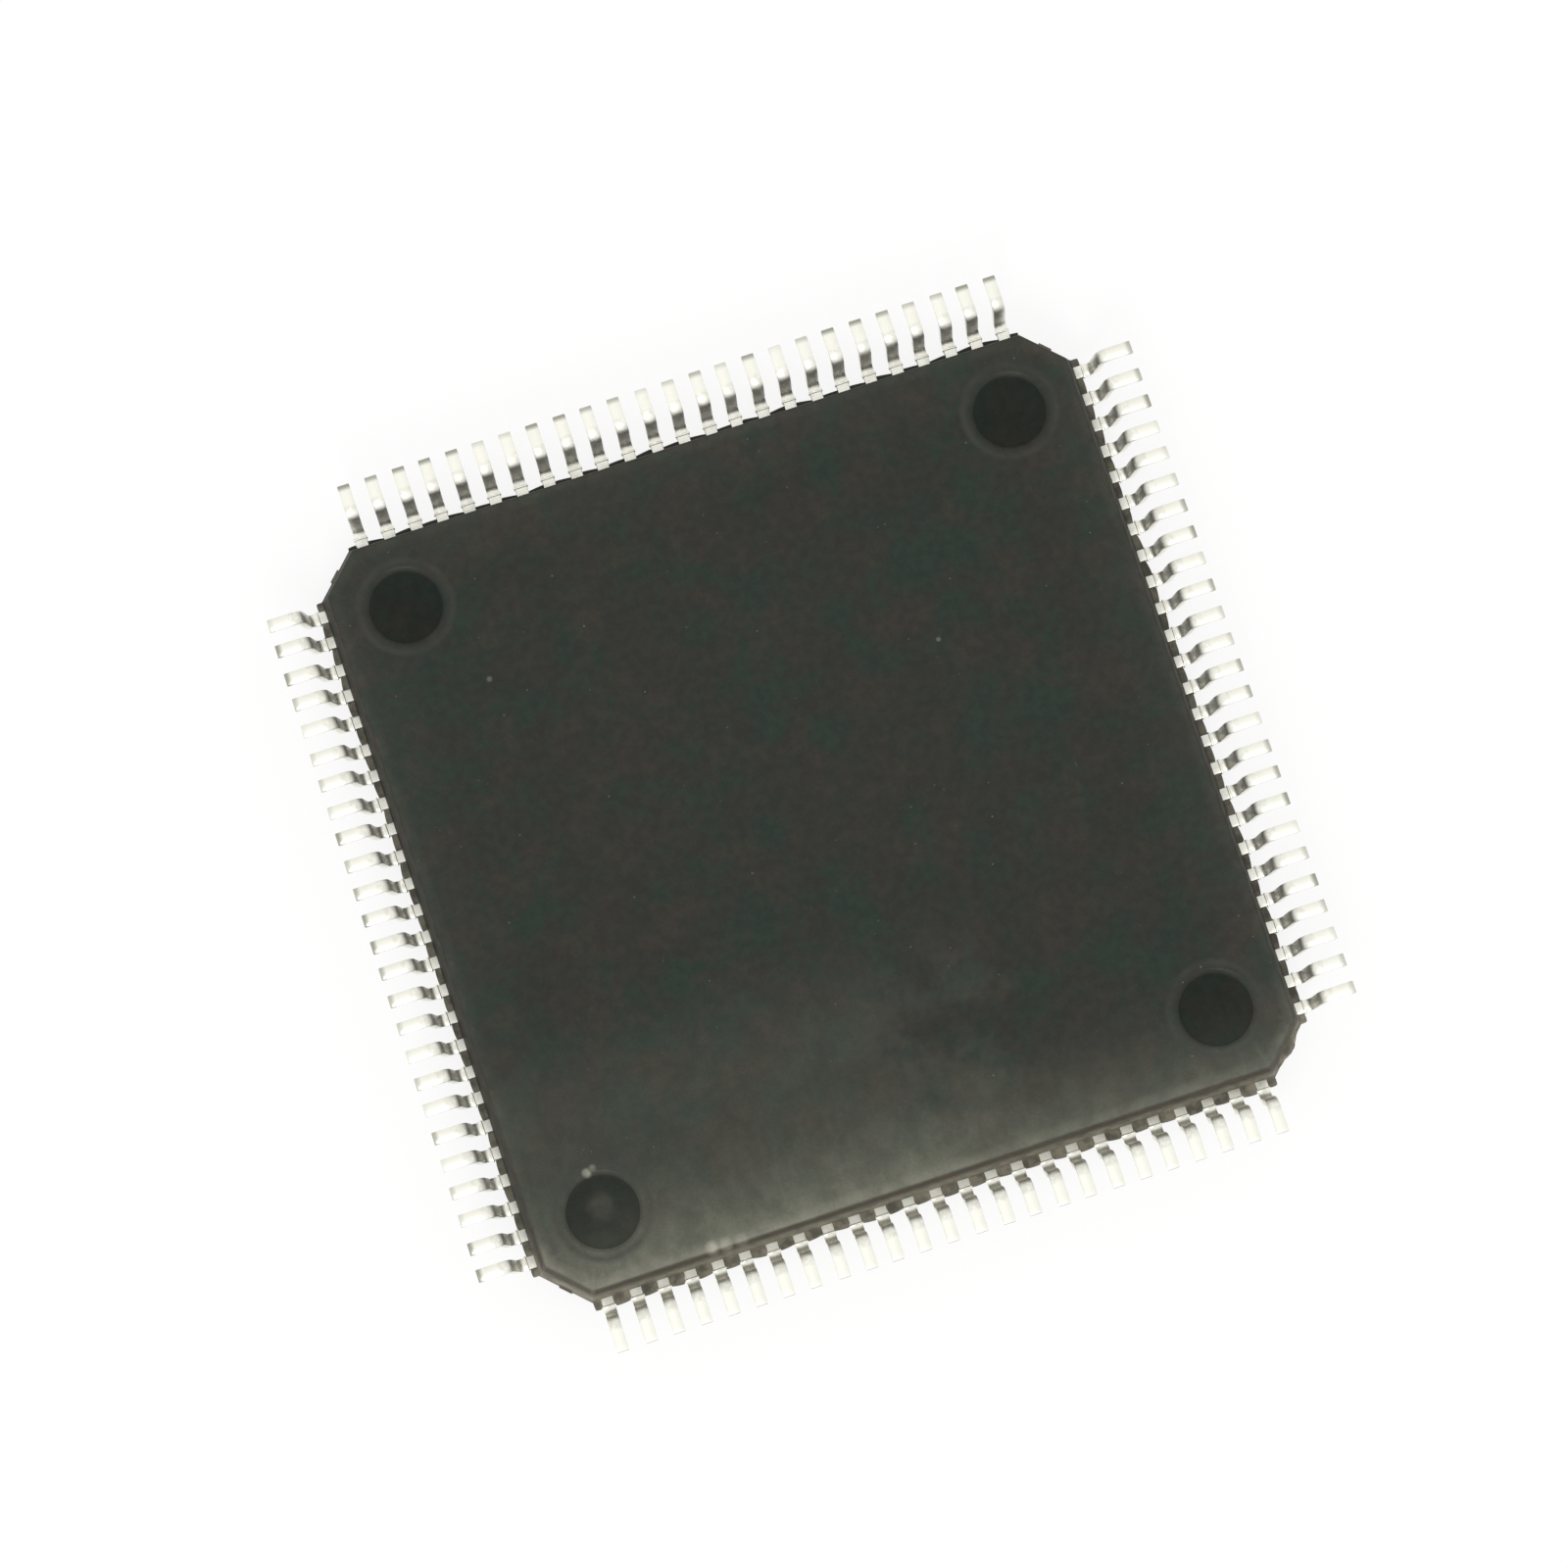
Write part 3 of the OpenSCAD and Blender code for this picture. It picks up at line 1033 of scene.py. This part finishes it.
    def _mark(self, bm: BMesh, x: float, y: float, z: float, way: int) -> list[Vert]:
        """Adds the sunk round mark of an ejector pin, with the low ridge round it.

        The face that lies down has no ridge, which would stand out past it.

        Args:
            bm: The bmesh.
            x: Place of its middle.
            y: Place of its middle.
            z: Height of the face that it is in.
            way: 1 for the face that lies up, -1 for the one that lies down.

        Returns:
            Its outermost ring.
        """
        turns = [2 * math.pi * k / self.mark_steps for k in range(self.mark_steps)]
        rings = []
        for radius, rise, floor, pale in self.mark_rings:
            height = z + way * MM * (rise if way > 0 else min(rise, 0.0))
            rings.append([add_vert(bm, (x + radius * MM * math.cos(turn),
                                        y + radius * MM * math.sin(turn), height),
                                   pin=floor, ring=pale) for turn in turns])
        strips = [bridge(bm, outer, inner) for outer, inner in zip(rings, rings[1:])]
        middle = add_vert(bm, (x, y, z + way * self.mark_rings[-1][1] * MM), pin=1.0)
        fan = [bm.faces.new((*pair, middle)) for pair in pairs(rings[-1])]
        for strip in (*strips[self.floor_from:], fan):
            for face in strip:
                face.material_index = 1
        return rings[0]


@dataclass
class ResinWebs:
    """Resin between the leads, broken off unevenly where the dam bar was cut out.

    Each row of a tooth gives its share of the reach, of the width and of the thickness, and how
    torn it is. The teeth reach furthest ahead, on the front side.
    """

    sizes: PackageSizes
    finish: Material
    root: float = 0.2 * MM
    overlap: float = 0.015 * MM
    thinner: float = 0.004 * MM
    rows: tuple[Station, ...] = (
        (0.10, 1.0, 1.0, 1.0), (0.60, 0.98, 1.0, 0.95), (0.88, 0.93, 0.98, 0.80),
        (0.97, 0.86, 0.88, 0.60), (1.0, 0.78, 0.60, 0.50))
    columns: Station = (-1.0, -0.78, -0.3, 0.2, 0.72, 1.0)
    bow: float = 0.05
    skew: float = 0.16
    reaches: Span = (0.80, 1.06)
    reach_behind: float = 0.45
    reach_ahead: float = 1.5
    end_narrowing: float = 0.5
    seed: int = 11

    def build(self) -> Object:
        """Builds the webs of all four sides.

        Returns:
            The finished piece.
        """
        host = self._tooth()
        piece = grow("resin_webs", {
            "Tooth": host, "Gaps": self.sizes.lead_count + 1, "Pitch": self.sizes.pitch,
            "Wall": self.sizes.half_w, "Height": self.sizes.part_z,
            "End Shift": self.sizes.pitch / 4 - self.sizes.lead_w / 4, "Seed": self.seed,
            "Finish": self.finish}, self._lay)
        bpy.data.objects.remove(host)
        enlist(piece, "body")
        return piece

    def _tooth(self) -> Object:
        """Builds one tooth, which stands on the wall and reaches along +Y.

        Returns:
            Its object, for the tree to copy.
        """
        half = (self.sizes.pitch - self.sizes.lead_w) / 2 + self.overlap
        thick = self.sizes.lead_t / 2 - self.thinner
        reach = self.sizes.web_out
        bm = new_bmesh("torn")
        rings = []
        for out, width, height, tear in ((-self.root / reach, 1.0, 1.0, 1.0), *self.rows):
            bow = self.bow if out > 0 else 0.0
            rings.append([
                add_vert(bm, (share * half * width, reach * (out - bow * share * share),
                              way * thick * height), torn=tear)
                for way in (1, -1) for share in self.columns[::way]])
        for near, far in zip(rings, rings[1:]):
            bridge(bm, near, far)
        for ring in (rings[0], rings[-1]):
            for k in range(len(self.columns) - 1):
                bm.faces.new((ring[k], ring[k + 1], ring[-2 - k], ring[-1 - k]))
        return finish_mesh("web_tooth", bm)

    def _lay(self, g: Graph, use: dict[str, Socket]) -> Socket:
        """Sets a tooth in every gap of the four sides.

        Args:
            g: The graph.
            use: Sockets of the tree's inputs.

        Returns:
            The socket of the teeth.
        """
        index = g.result("GeometryNodeInputIndex")
        side = g.math("FLOOR", g.math("DIVIDE", g.plus(index, 0.5), use["Gaps"]))
        middle = g.math("DIVIDE", g.less(use["Gaps"], 1.0), 2.0)
        step = g.less(g.less(index, g.times(side, use["Gaps"])), middle)
        is_end = g.math("GREATER_THAN", g.math("ABSOLUTE", step), g.less(middle, 0.5))
        inward = g.times(g.math("SIGN", step), use["End Shift"], is_end)
        spot = g.join(g.less(g.times(step, use["Pitch"]), inward), use["Wall"], use["Height"])
        turn = g.times(side, math.pi / 2)
        turned = g.result("ShaderNodeVectorRotate", {"Vector": spot, "Angle": turn},
                          rotation_type="Z_AXIS")
        skew = g.chance(use["Seed"], -self.skew, self.skew, 1)
        reach = g.times(g.chance(use["Seed"], *self.reaches, 2),
                        g.spread(g.math("COSINE", turn), 1.0, -1.0, self.reach_behind,
                                 self.reach_ahead, smooth=False))
        width = g.less(1.0, g.times(is_end, self.end_narrowing))
        teeth = g.copies(g.times(use["Gaps"], 4.0), turned, use["Tooth"],
                         g.join(z=g.plus(turn, skew)), g.join(width, reach, 1.0))
        return g.dressed(g.result("GeometryNodeRealizeInstances", {0: teeth}), use["Finish"])


@dataclass
class GateStub:
    """The rough stump on the corner face where the resin was broken off at the gate."""

    sizes: PackageSizes
    finish: Material
    width: float = 0.7 * MM
    height: float = 0.2 * MM
    reach: float = 0.08 * MM
    root: float = 0.3 * MM
    side_slope: float = 3.2
    rim_slope: float = 4.0
    rim_start: float = 0.2
    even: float = 0.45
    wave: float = 0.35
    wave_turn: float = 4.1
    wave_start: float = 1.2
    rough: float = 0.2
    wobble: float = 0.02 * MM
    turn: float = math.radians(-45)
    columns: int = 18
    rows: int = 7
    seed: int = 5

    def build(self) -> Object:
        """Builds the stump.

        Returns:
            The finished piece.
        """
        s = self.sizes
        chance = random.Random(self.seed)
        foot = s.sheet_z + s.lead_t
        bm = new_bmesh("torn")
        face = []
        for row in range(self.rows + 1):
            line = []
            up = row / self.rows
            for column in range(self.columns + 1):
                across = 2 * column / self.columns - 1
                edge = (min(1.0, self.side_slope * (1 - abs(across)))
                        * min(1.0, self.rim_slope * up + self.rim_start))
                swell = (self.even + self.wave * math.sin(self.wave_turn * across
                                                          + self.wave_start)
                         + self.rough * chance.random())
                wobble = (chance.random() - 0.5) * self.wobble * (1 - across ** 2)
                line.append(add_vert(bm, (
                    s.corner_d + self.reach * edge * swell, across * self.width / 2 + wobble,
                    foot + self.height * (1 - up)), torn=1.0))
            face.append(line)
        for below, above in zip(face, face[1:]):
            for k in range(self.columns):
                bm.faces.new((below[k], below[k + 1], above[k + 1], above[k]))
        rim = (face[0] + [line[-1] for line in face[1:]] + face[-1][-2::-1]
               + [line[0] for line in face[-2:0:-1]])
        inner = [bm.verts.new((s.corner_d - self.root, v.co.y, v.co.z)) for v in rim]
        bridge(bm, rim, inner)
        bm.faces.new(inner)
        bm.transform(Matrix.Rotation(self.turn, 4, "Z"))
        piece = finish_mesh("gate_stub", bm, smooth=False)
        piece.data.materials.append(self.finish)
        enlist(piece, "body")
        return piece


# ---- Leads ----


@dataclass
class LeadRow:
    """The gull-wing leads of one side, as stamped, formed and plated.

    Each ring of the toe gives its distance from the tip of the toe, its share of the width, and
    its share of the half thickness on the side of the sole.
    """

    sizes: PackageSizes
    side: Side
    plating: Material
    core: Material
    foot: float = 0.42 * MM
    foot_rub: float = 0.2
    heel_len: float = 0.05 * MM
    toe_holds: Station = (0.12 * MM, 0.05 * MM)
    bend_r: float = 0.1 * MM
    bend_steps: int = 5
    bend_rub: float = 1.0
    bend_end_rub: float = 0.5
    lean: float = math.radians(8)
    nib_len: float = 0.04 * MM
    nib_out: float = 0.02 * MM
    nib_edge: float = 0.003 * MM
    nib_rub: float = 0.2
    root_len: float = 0.5 * MM
    tip_w: float = 0.15 * MM
    tip_pitch: float = 0.2799 * MM
    tip_from: int = -4
    toe_rings: tuple[Station, ...] = (
        (0.025 * MM, 1.0, 0.93), (0.008 * MM, 0.99, 0.78), (0.0, 0.97, 0.60))
    section: tuple[Station, ...] = (
        (-1.00, -0.86), (-0.93, -1.00), (0.93, -1.00), (1.00, -0.86), (1.00, 0.55),
        (0.96, 0.80), (0.85, 0.95), (0.68, 1.00), (-0.68, 1.00), (-0.85, 0.95),
        (-0.96, 0.80), (-1.00, 0.55))
    sway: float = 0.0022
    widths: Span = (0.97, 1.02)

    def build(self) -> Object:
        """Builds the row.

        Returns:
            The finished piece.
        """
        host = self._lead()
        piece = grow(f"{self.side.word}_lead_row", {
            "Lead": host, "Count": self.sizes.lead_count, "Pitch": self.sizes.pitch,
            "Tip Pitch": self.tip_pitch, "Root": self.sizes.half_w - self.root_len,
            "Tip": self.sizes.tip, "Narrowing": 1 - self.tip_w / self.sizes.lead_w,
            "Turn": math.radians(self.side.value), "Seed": self.side.value,
            "Plating": self.plating, "Core": self.core}, self._lay)
        bpy.data.objects.remove(host)
        enlist(piece, f"{self.side.word}_leads")
        return piece

    def _path(self) -> list[Station]:
        """Works out the middle line of a lead, from its finger tip to its toe.

        Returns:
            For each station its distance from the middle of the package, its height, the rise
            of the line in radians, its width, how rubbed it is, and how near the heel it is.
        """
        s = self.sizes
        mid = s.sheet_z + s.lead_t / 2
        foot_mid = s.sole_z - s.lead_t / 2
        web = s.half_w + s.web_out
        nib_w = s.lead_w + 2 * self.nib_out
        stations = [(y, mid, 0.0, width, rub, 0.0) for y, width, rub in (
            (s.tip, s.lead_w, 0.0), (s.half_w - self.root_len, s.lead_w, 0.0),
            (web - self.nib_edge, s.lead_w, 0.0), (web, nib_w, self.nib_rub),
            (web + self.nib_len, nib_w, self.nib_rub),
            (web + self.nib_len + self.nib_edge, s.lead_w, 0.0))]
        steep = math.pi / 2 - self.lean
        bend = self.bend_r + s.lead_t / 2
        rise = bend * (1 - math.cos(steep))
        end = s.toe - self.foot
        shoulder = (end - 2 * bend * math.sin(steep)
                    - (foot_mid - mid - 2 * rise) * math.tan(self.lean))
        for start, level, way, heel in ((shoulder, mid, 1, 0.0), (end, foot_mid, -1, 1.0)):
            for k in range(self.bend_steps + 1):
                turn = steep * (k if way > 0 else self.bend_steps - k) / self.bend_steps
                rub = self.bend_rub if 0 < k < self.bend_steps else self.bend_end_rub
                stations.append((start + way * bend * math.sin(turn),
                                 level + way * bend * (1 - math.cos(turn)), turn, s.lead_w,
                                 rub, heel))
        stations.append((end + self.heel_len, foot_mid, 0.0, s.lead_w, self.foot_rub, 0.0))
        return stations + [(s.toe - back, foot_mid, 0.0, s.lead_w, 0.0, 0.0)
                           for back in self.toe_holds]

    def _lead(self) -> Object:
        """Builds one lead on the +Y side, in the middle of its row.

        Returns:
            Its object, for the tree to copy.
        """
        s = self.sizes
        thick = s.lead_t / 2
        bm = new_bmesh("rub", "heel", "tip")
        cut = bm.faces.layers.float.new("cut")
        rings = [[add_vert(bm, (across * width / 2, y + up * thick * math.sin(turn),
                                z - up * thick * math.cos(turn)), rub=rub, heel=heel)
                  for across, up in self.section]
                 for y, z, turn, width, rub, heel in self._path()]
        rings += [[add_vert(bm, (across * s.lead_w / 2 * narrow, s.toe - back,
                                 s.sole_z - thick * (1 + (up if up > 0 else kept * up))))
                   for across, up in self.section]
                  for back, narrow, kept in self.toe_rings]
        for ring in rings[self.tip_from:]:
            for vert in ring:
                vert[bm.verts.layers.float["tip"]] = 1.0
        for near, far in zip(rings, rings[1:]):
            bridge(bm, near, far)
        bm.faces.new(rings[0])
        bm.faces.new(rings[-1])[cut] = 1.0
        return finish_mesh("lead", bm)

    def _lay(self, g: Graph, use: dict[str, Socket]) -> Socket:
        """Sets out the row, draws its fingers together and turns it to its side.

        Args:
            g: The graph.
            use: Sockets of the tree's inputs.

        Returns:
            The socket of the row.
        """
        middle = g.math("DIVIDE", g.less(use["Count"], 1.0), 2.0)
        step = g.less(g.result("GeometryNodeInputIndex"), middle)
        leads = g.copies(use["Count"], g.join(g.times(step, use["Pitch"])), use["Lead"],
                         g.join(z=g.chance(use["Seed"], -self.sway, self.sway, 1)),
                         g.join(g.chance(use["Seed"], *self.widths, 2), 1.0, 1.0))
        for label, value in (("tone", g.chance(use["Seed"], 0.0, 1.0, 3)), ("step", step)):
            leads = g.result("GeometryNodeStoreNamedAttribute", {
                "Geometry": leads, "Name": label, "Value": value},
                data_type="FLOAT", domain="INSTANCE")
        real = g.result("GeometryNodeRealizeInstances", {0: leads})
        fanned = g.result("GeometryNodeSetPosition", {
            "Geometry": real, "Offset": g.join(self._fan(g, use))})
        turned = g.result("GeometryNodeTransform", {
            "Geometry": fanned, "Rotation": g.join(z=use["Turn"])})
        cut = g.result("GeometryNodeInputNamedAttribute", {"Name": "cut"}, data_type="FLOAT")
        return g.dressed(g.dressed(turned, use["Plating"]), use["Core"],
                         g.math("GREATER_THAN", cut, 0.5))

    @staticmethod
    def _fan(g: Graph, use: dict[str, Socket]) -> Socket:
        """Works out how far each finger is drawn in and narrowed towards its tip.

        Args:
            g: The graph.
            use: Sockets of the tree's inputs.

        Returns:
            The socket of the shift along X.
        """
        x, y, _ = g.split(g.result("GeometryNodeInputPosition"))
        step = g.result("GeometryNodeInputNamedAttribute", {"Name": "step"}, data_type="FLOAT")
        own = g.less(x, g.times(step, use["Pitch"]))
        inward = g.times(step, g.less(use["Tip Pitch"], use["Pitch"]))
        return g.times(g.spread(y, use["Root"], use["Tip"], smooth=False),
                       g.less(inward, g.times(own, use["Narrowing"])))


# ---- Inside ----


@dataclass
class InnerParts:
    """The CAD nodes inside the resin, which keep their shape and get better finishes."""

    copper: Material
    silicon: InnerCoat = InnerCoat(
        "silicon_die", base=(0.055, 0.062, 0.085), other=(0.090, 0.080, 0.095),
        roughness=0.18, blotch=0.35 * MM, metallic=0.6, coat=0.5)
    glue: InnerCoat = InnerCoat(
        "silver_glue", base=(0.52, 0.51, 0.49), other=(0.36, 0.35, 0.33), roughness=0.45,
        blotch=0.08 * MM, metallic=0.7)
    tape: InnerCoat = InnerCoat(
        "polyimide_tape", base=(0.42, 0.17, 0.02), other=(0.50, 0.24, 0.04), roughness=0.28,
        blotch=0.5 * MM, coat=0.4)
    gold: PlainMetal = PlainMetal(
        "gold_wire", base=(0.94, 0.70, 0.30), tarnish=(0.86, 0.60, 0.24), roughness=0.20,
        blotch=0.06 * MM, line=0.008 * MM, depth=0.0004 * MM)

    def dress(self) -> None:
        """Gives each inner node its finish."""
        finishes = {"chip": self.silicon.material(), "chip_glue": self.glue.material(),
                    "chip_pad": self.copper, "finger_tape": self.tape.material()}
        gold = self.gold.material()
        finishes.update({f"{side.word}_wires": gold for side in Side})
        for name, finish in finishes.items():
            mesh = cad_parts[name].data
            mesh.materials.clear()
            mesh.materials.append(finish)
            LOG.info("%s: keeps its CAD shape, in %s", name, finish.name)


# ---- Studio ----


@dataclass
class Studio:
    """White floor, soft sky and one soft lamp beside the camera."""

    floor_r: float = 2.5
    floor_steps: int = 96
    floor_drop: float = 0.001 * MM
    floor_colour: Colour = (0.95, 0.95, 0.95)
    floor_glow: float = 0.82
    bright: Colour = (1.00, 1.00, 0.985)
    dark: Colour = (0.840, 0.840, 0.825)
    bright_side: Triple = (-0.16, -0.48, 0.862)
    sky_range: Span = (-0.20, 0.72)
    lamp_at: Triple = (-0.065, -0.175, 0.235)
    lamp_width: float = 0.09
    lamp_power: float = 0.20

    def build(self) -> None:
        """Builds the floor, the sky and the lamp."""
        self._floor()
        self._sky()
        self._lamp()

    def _floor(self) -> None:
        """Lays a round floor that shows white, keeps shadows and can't be seen from below."""
        bm = bmesh.new()
        bmesh.ops.create_circle(bm, cap_ends=True, radius=self.floor_r,
                                segments=self.floor_steps)
        bm.transform(Matrix.Translation((0, 0, -self.floor_drop)))
        floor = finish_mesh("floor", bm, smooth=False)
        material, g = new_material("white_floor")
        matt = g.result("ShaderNodeBsdfDiffuse", {"Color": rgba(self.floor_colour)})
        glow = g.result("ShaderNodeEmission", {"Color": (1.0, 1.0, 1.0, 1.0), "Strength": 1.0})
        rays = g.add("ShaderNodeLightPath").outputs
        seen = g.math("MAXIMUM", rays["Is Camera Ray"], rays["Is Glossy Ray"])
        seen = g.math("MAXIMUM", seen, rays["Is Transmission Ray"])
        lit = g.result("ShaderNodeMixShader", {
            0: g.times(seen, self.floor_glow), 1: matt, 2: glow})
        below = g.add("ShaderNodeNewGeometry").outputs["Backfacing"]
        both = g.result("ShaderNodeMixShader", {
            0: below, 1: lit, 2: g.result("ShaderNodeBsdfTransparent")})
        g.add("ShaderNodeOutputMaterial", {"Surface": both})
        floor.data.materials.append(material)

    def _sky(self) -> None:
        """Makes the sky, which is nearly even and a little darker low down behind."""
        world = bpy.data.worlds.new("studio_sky")
        bpy.context.scene.world = world
        world.use_nodes = True
        g = Graph(world.node_tree)
        facing = g.measure("DOT_PRODUCT", g.place(), self.bright_side)
        share = g.spread(facing, *self.sky_range, smooth=False)
        sky = g.result("ShaderNodeBackground", {
            "Color": g.mix(share, self.dark, self.bright), "Strength": 1.0})
        g.add("ShaderNodeOutputWorld", {"Surface": sky})

    def _lamp(self) -> None:
        """Hangs the lamp, aimed at the chip."""
        data = bpy.data.lights.new("soft_lamp", "AREA")
        data.shape = "DISK"
        data.size = self.lamp_width
        data.energy = self.lamp_power
        lamp = new_object("soft_lamp", data)
        lamp.location = self.lamp_at
        lamp.rotation_mode = "QUATERNION"
        lamp.rotation_quaternion = (-Vector(self.lamp_at)).to_track_quat("-Z", "Y")


@dataclass
class ViewCamera:
    """The camera, nearly overhead and turned a little to the left of the front."""

    sizes: PackageSizes
    azimuth: float = math.radians(341.7)
    elevation: float = math.radians(81)
    distance: float = 0.097
    frame_width: float = 27.58 * MM
    aim_left: float = 0.43 * MM
    aim_up: float = 0.50 * MM
    nearest: float = 0.005
    farthest: float = 20.0

    def build(self) -> None:
        """Makes the camera and gives it to the scene."""
        back = Vector((math.sin(self.azimuth) * math.cos(self.elevation),
                       -math.cos(self.azimuth) * math.cos(self.elevation),
                       math.sin(self.elevation)))
        turn = (-back).to_track_quat("-Z", "Y")
        right, up = turn @ Vector((1, 0, 0)), turn @ Vector((0, 1, 0))
        aim = Vector((0, 0, self.sizes.part_z)) - self.aim_left * right + self.aim_up * up
        data = bpy.data.cameras.new("camera")
        data.lens = data.sensor_width * self.distance / self.frame_width
        data.clip_start, data.clip_end = self.nearest, self.farthest
        camera = new_object("camera", data)
        camera.location = aim + self.distance * back
        camera.rotation_mode = "QUATERNION"
        camera.rotation_quaternion = turn
        bpy.context.scene.camera = camera


def main() -> None:
    """Builds the studio and every piece, in order."""
    logging.basicConfig(level=logging.INFO, format="%(name)s: %(message)s")
    bpy.context.scene.view_settings.view_transform = "Standard"
    sizes = PackageSizes.from_frame()
    ViewCamera(sizes).build()
    Studio().build()
    resin = MouldedResin().material(sizes)
    # Resin of the ejector mark floors, with a darker painted sheen tone.
    pin_resin = MouldedResin(
        name="pin_mark_resin", base=(0.0082, 0.0105, 0.0074), green=(0.0055, 0.0120, 0.0080),
        brown=(0.0125, 0.0105, 0.0072), bloom=(0.0560, 0.0560, 0.0440), roughness=0.48,
        specular=0.15).material(sizes)
    tin = MattTin().material()
    copper = PlainMetal(
        "bare_copper", base=(0.72, 0.36, 0.20), tarnish=(0.45, 0.21, 0.12), roughness=0.32,
        blotch=0.10 * MM, line=0.015 * MM, depth=0.0015 * MM,
        smear_from=sizes.corner_d - SMEARED_END).material()
    core = PlainMetal(
        "cut_copper", base=(0.42, 0.30, 0.20), tarnish=(0.25, 0.19, 0.14), roughness=0.40,
        blotch=0.05 * MM, line=0.012 * MM, depth=0.0015 * MM).material()
    MouldedBody(sizes, resin, pin_resin).build()
    ResinWebs(sizes, resin).build()
    GateStub(sizes, resin).build()
    for side in Side:
        LeadRow(sizes, side, tin, core).build()
    InnerParts(copper).dress()


if __name__ == "__main__":
    main()
